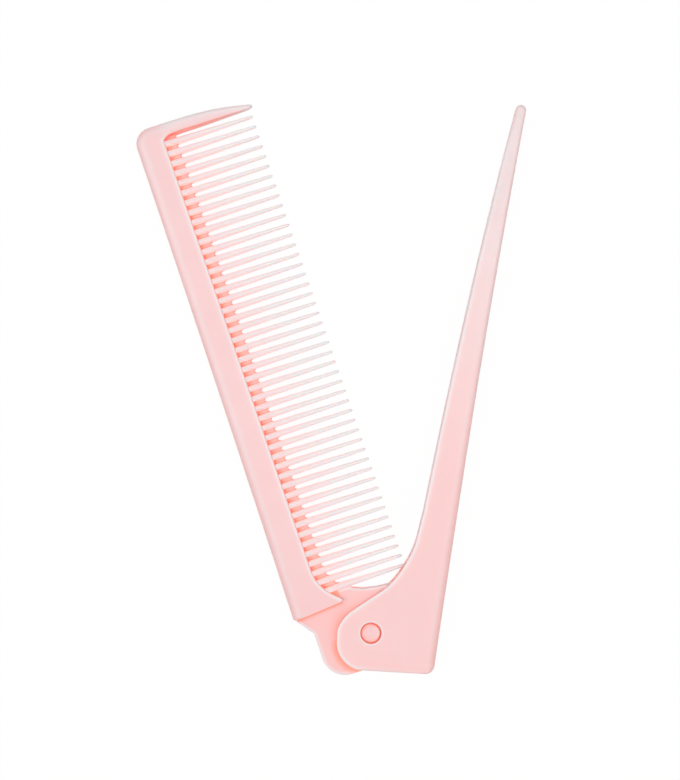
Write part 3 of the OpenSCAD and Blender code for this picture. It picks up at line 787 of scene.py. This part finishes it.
# The outline: down the inner edge, round the throat, the lobe and the base, up the back, and
# round the tail's tip.
throat_hi, throat_lo, lobe_top = (6.47, 19.0), (3.25, 11.56), (-lobe_left, 1.47)
base_left = (-lobe_left, -base_drop - lobe_left * math.tan(base_slope))
base_x = float(handle_out(-base_drop))
base_right = (base_x, base_x * math.tan(base_slope) - base_drop)
y = np.concatenate([np.linspace(tip_y, slot_end, 26), np.linspace(slot_end, throat_top, 60)[1:]])
inner_side = np.stack([handle_in(y), y], axis=1)
y = np.concatenate([np.linspace(base_drop, slot_end, 70), np.linspace(slot_end, tip_y, 26)[1:]])
back_side = np.stack([handle_out(y), y], axis=1)
tip_in, tip_out = float(handle_in(tip_y)), float(handle_out(tip_y))
a = np.radians(np.linspace(0, 180, 22))[1:-1]
tip_arc = np.stack([(tip_in + tip_out) / 2 + (tip_out - tip_in) / 2 * np.cos(a),
                    tip_y + tip_r * np.sin(a)], axis=1)
outline = np.vstack([
    inner_side,
    round_corner(inner_side[-1], throat_hi, throat_lo, throat_hi_r, 16)[1:],
    round_corner(throat_hi, throat_lo, lobe_top, throat_lo_r, 20),
    round_corner(throat_lo, lobe_top, base_left, lobe_hi_r, 26),
    round_corner(lobe_top, base_left, base_right, lobe_lo_r, 36),
    round_corner(base_left, base_right, back_side[0], base_r, 20),
    back_side, tip_arc])
outline = outline[np.linalg.norm(outline - np.roll(outline, 1, axis=0), axis=1) > 1e-4]

# The throat and the upper left of the lobe are drawn fuller, by so much at so many
# millimetres along the outline from the throat's top, and smoothed with a bell.
fuller_at = (0, 10, 16, 19, 25, 33, 35, 38, 41)
fuller_by = (0, 0.1, 0.15, 0.12, 0.5, 0.5, 0.18, 0.1, 0)
even = np.linspace(-10, 60, 701)
bell = np.hanning(31)
fuller = np.convolve(np.interp(even, fuller_at, fuller_by), bell / bell.sum(), "same")
run = run_along(outline)
from_top = np.hypot(outline[:, 0] - handle_in(throat_top), outline[:, 1] - throat_top)
outline = inset(outline, -np.interp(run - run[np.argmin(from_top)], even, fuller))


def thinning(y):
    """The handle's thickness as a share of its full one: whole as far as the slot's end, then
    falling straight to the tail's tip."""
    past_slot = np.clip((y - slot_end) / (tail_reach - slot_end), 0, 1)
    return 1 + (tail_tip_half / half_t - 1) * past_slot


# Which edge each point is on, and the edge's width and depth there: broad behind, narrowing
# up the tail, and shallow inside.
x, y = outline.T
base_top, base_from_x = -5.6, -2.0
on_base = np.clip((base_top - y) / 1.2, 0, 1) * np.clip((x - base_from_x) / 3, 0, 1)
on_back = np.clip((x - web_face) / 1.0, 0, 1) * (1 - on_base)
on_inner = 1 - np.clip(on_back + on_base, 0, 1)
edge_w = 0.55 + on_back * (0.35 + 0.8 * np.clip(1 - y / slot_end, 0, 1)) - 0.1 * on_base
edge_deep = cheek_t - (0.9 - 0.5 * np.clip((y - 50) / 40, 0, 1)) * on_inner

# Rings from the slot's face up the wall, over the edge and onto the face, where they step in
# as far as the handle's width and its base corner leave room.
tail_y = np.minimum(y, tip_y)
half_w = np.where(y > throat_top, (handle_out(tail_y) - handle_in(tail_y)) / 2, 6.0)
from_corner = np.hypot(x - base_x, y - base_right[1])
room = np.clip((half_w - 1.1) / 2.4, 0.05, 1) * np.clip(from_corner / 5, 0.1, 1)
across, down = quarter_edge(10, soft_power - 0.6 * on_back)
widths = [0.05 * (y < slot_end), np.zeros(len(outline))] + [edge_w * w for w in across[::-1]]
widths += [edge_w + v * room for v in (0.14, 0.6, 1.2)]
heights = [slot_half, slot_half + 0.02]
heights += [np.maximum(half_t - edge_deep * d, slot_half + 0.03) for d in down[::-1]] + [half_t] * 3
levels = []
for width, z in zip(widths, heights):
    line = inset(outline, width)
    levels.append(lift(line, z * thinning(line[:, 1])))
levels = np.stack(levels)

# The hole for the pin, with a rounded rim that is rim_share as deep as wide, and two flat
# parts that meet at the slot's end.
bore_r, rim_w, rim_share = 2.3, 0.36, 0.45
across, down = quarter_edge(8)
hole_r = [bore_r] + [bore_r + rim_w * w for w in across[::-1]] + [bore_r + rim_w + 0.14]
hole_z = [slot_half] + [half_t - rim_share * rim_w * d for d in down[::-1]] + [half_t]
hole = np.stack([circle(r, z) for r, z in zip(hole_r, hole_z)])
crease_in = int(np.argmin(np.hypot(x - handle_in(slot_end), y - slot_end)))
crease_out = int(np.argmin(np.hypot(x - handle_out(slot_end), y - slot_end)))
n = len(outline)
tail_loop = list(range(crease_out, n)) + list(range(crease_in + 1))
points, faces = plate(levels, [range(crease_in, crease_out + 1), tail_loop], hole)

# Painted shade deepens the colour on the inner wall near the hinge, on the faces inside the
# slot, along the back's lower edge, at the base and in the hole. Painted highlights pale it
# along the edges, round the hole and towards the tail's tip.
handle_pink = (0.93, 0.615, 0.605)
handle_plastic = plastic("handle_plastic", handle_pink, deep_pink, edge_pink, glow=0.25)
from_edge = np.stack(widths)
by_hinge = np.clip((22 - y) / 8, 0, 1)
inner_wall = on_inner * (0.03 + 0.54 * by_hinge) * np.exp(-from_edge / wall_fade)
low_back = on_back * 0.14 * np.clip(1 - y / 65, 0, 1) * np.exp(-(from_edge / 0.9) ** 2)
depth = inner_wall + low_back + 0.1 * on_base * np.exp(-from_edge / 0.2)
depth[0] = 0.08 + 0.3 * by_hinge
pale_edge = on_inner * bump(from_edge, 0.3, 0.4) + on_back * 0.15 * bump(from_edge, 1.5, 0.5)
pale_from, pale_run = 36, 95
up_tail = np.clip((y - pale_from) / pale_run, 0, 1)
pale_tail = up_tail * (1 - 0.8 * on_back * np.exp(-(from_edge / 0.5) ** 2))
thin = 1 - (1 - pale_edge) * (1 - 0.95 * pale_tail)
rim_r = np.repeat(hole_r, hole.shape[1])
depth = np.concatenate([depth.ravel(), 0.6 * np.exp(-(rim_r - bore_r) / 0.04)])
thin = np.concatenate([thin.ravel(), bump(rim_r, bore_r + 0.2, 0.18)])
for name, side, node in (("cheek_front", 1, "front_cheek"), ("cheek_back", -1, "back_cheek")):
    cheek = mesh_object(name, stand(points * [1, 1, side], handle_lean), faces, handle_plastic,
                        depth=depth, thin=thin)
    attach(cheek, "handle")
    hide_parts(node)

# Web and core of the tail

# Between the cheeks the same moulding closes the slot along the back edge, and fills the
# whole width beyond the slot's end. It is moulded in one with both cheeks.
web_foot, foot_slope = 3.55, 1.15
on_web = (x > web_face) & (y + web_foot > -foot_slope * (x - web_face))
index = np.arange(n)
back_part = index[(index > crease_in) & (on_web | (index > crease_out))]
tail_part = index[:crease_in + 1]
core = np.vstack([outline[back_part], outline[tail_part],
                  [[web_face, slot_end], [web_face, -web_foot]]])
levels = np.stack([lift(core, z * thinning(core[:, 1])) for z in (-slot_half, slot_half)])
points, faces = plate(levels, [range(len(core))])
# Painted shade deepens the core a little all over, and a painted highlight pales it up the tail.
handle_core = mesh_object("handle_core", stand(points, handle_lean), faces, handle_plastic,
                          depth=np.full(len(points), 0.15),
                          thin=np.tile(np.clip((core[:, 1] - pale_from) / pale_run, 0, 1), 2))
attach(handle_core, "handle")
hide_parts("handle_web", "tail_point")

# Studio

# A white table with two long soft lamps over it, the left one stronger, and a low even sky.
# The camera looks straight down from the height that the photograph's perspective gives.
view_x, view_y, view_h = 0.0019277, -0.0000494, 0.380
plane_h, seen_half = 0.0037, 0.08530
cam_data = bpy.data.cameras.new("camera")
cam_data.sensor_width = 36.0
cam_data.lens = cam_data.sensor_width / 2 / (seen_half / (view_h - plane_h))
cam_data.clip_start, cam_data.clip_end = 0.01, 20.0
camera = bpy.data.objects.new("camera", cam_data)
camera.location = (view_x, view_y, view_h)
bpy.context.scene.collection.objects.link(camera)
bpy.context.scene.camera = camera


def lamp(name, at, size, watts):
    """A soft lamp of that width and length, aimed at the middle of the table."""
    data = bpy.data.lights.new(name, "AREA")
    data.shape, data.size, data.size_y, data.energy = "RECTANGLE", size[0], size[1], watts
    obj = bpy.data.objects.new(name, data)
    obj.location = at
    obj.rotation_euler = (-Vector(at)).to_track_quat("-Z", "Y").to_euler()
    bpy.context.scene.collection.objects.link(obj)


lamp("soft_left", (-0.6, -0.05, 1.0), (0.5, 1.8), 6.3)
lamp("soft_right", (0.55, 0.0, 1.0), (0.5, 1.8), 4.65)

floor_mesh = bpy.data.meshes.new("table")
floor_mesh.from_pydata([(-3, -3, 0), (3, -3, 0), (3, 3, 0), (-3, 3, 0)], [], [(0, 1, 2, 3)])
table = bpy.data.objects.new("table", floor_mesh)
bpy.context.scene.collection.objects.link(table)

# The table is pure white to the camera, as the photograph's ground is, also where it is seen
# in the gloss of the comb. What it throws back at the comb from below is weaker.
paper = bpy.data.materials.new("white_table")
paper.use_nodes = True
nodes, links = paper.node_tree.nodes, paper.node_tree.links
shader, out = nodes["Principled BSDF"], nodes["Material Output"]
shader.inputs["Roughness"].default_value = 0.9
glow = nodes.new("ShaderNodeEmission")
glow.inputs["Color"].default_value = (1, 1, 1, 1)
path = nodes.new("ShaderNodeLightPath")
white = nodes.new("ShaderNodeMix")
white.data_type = "RGBA"
white.inputs["A"].default_value = (0.6, 0.6, 0.6, 1)
white.inputs["B"].default_value = (1, 1, 1, 1)
links.new(path.outputs["Is Camera Ray"], white.inputs["Factor"])
links.new(white.outputs["Result"], shader.inputs["Base Color"])
clear = computed(paper.node_tree, "MAXIMUM", path.outputs["Is Glossy Ray"],
                 path.outputs["Is Transmission Ray"])
either = computed(paper.node_tree, "MAXIMUM", path.outputs["Is Camera Ray"], clear)
share = computed(paper.node_tree, "MULTIPLY", either, 0.97)
blend = nodes.new("ShaderNodeMixShader")
links.new(share, blend.inputs[0])
links.new(shader.outputs[0], blend.inputs[1])
links.new(glow.outputs[0], blend.inputs[2])
links.new(blend.outputs[0], out.inputs["Surface"])
floor_mesh.materials.append(paper)

# The sky is full white to the camera, and lights the comb less.
world = bpy.data.worlds.new("studio")
bpy.context.scene.world = world
world.use_nodes = True
nodes, links = world.node_tree.nodes, world.node_tree.links
sky = nodes["Background"]
sky.inputs["Color"].default_value = (1, 1, 1, 1)
sky.inputs["Strength"].default_value = 0.48
seen = nodes.new("ShaderNodeBackground")
seen.inputs["Color"].default_value = (1, 1, 1, 1)
path = nodes.new("ShaderNodeLightPath")
pick = nodes.new("ShaderNodeMixShader")
links.new(path.outputs["Is Camera Ray"], pick.inputs[0])
links.new(sky.outputs[0], pick.inputs[1])
links.new(seen.outputs[0], pick.inputs[2])
links.new(pick.outputs[0], nodes["World Output"].inputs["Surface"])

bpy.context.scene.view_settings.view_transform = "Standard"
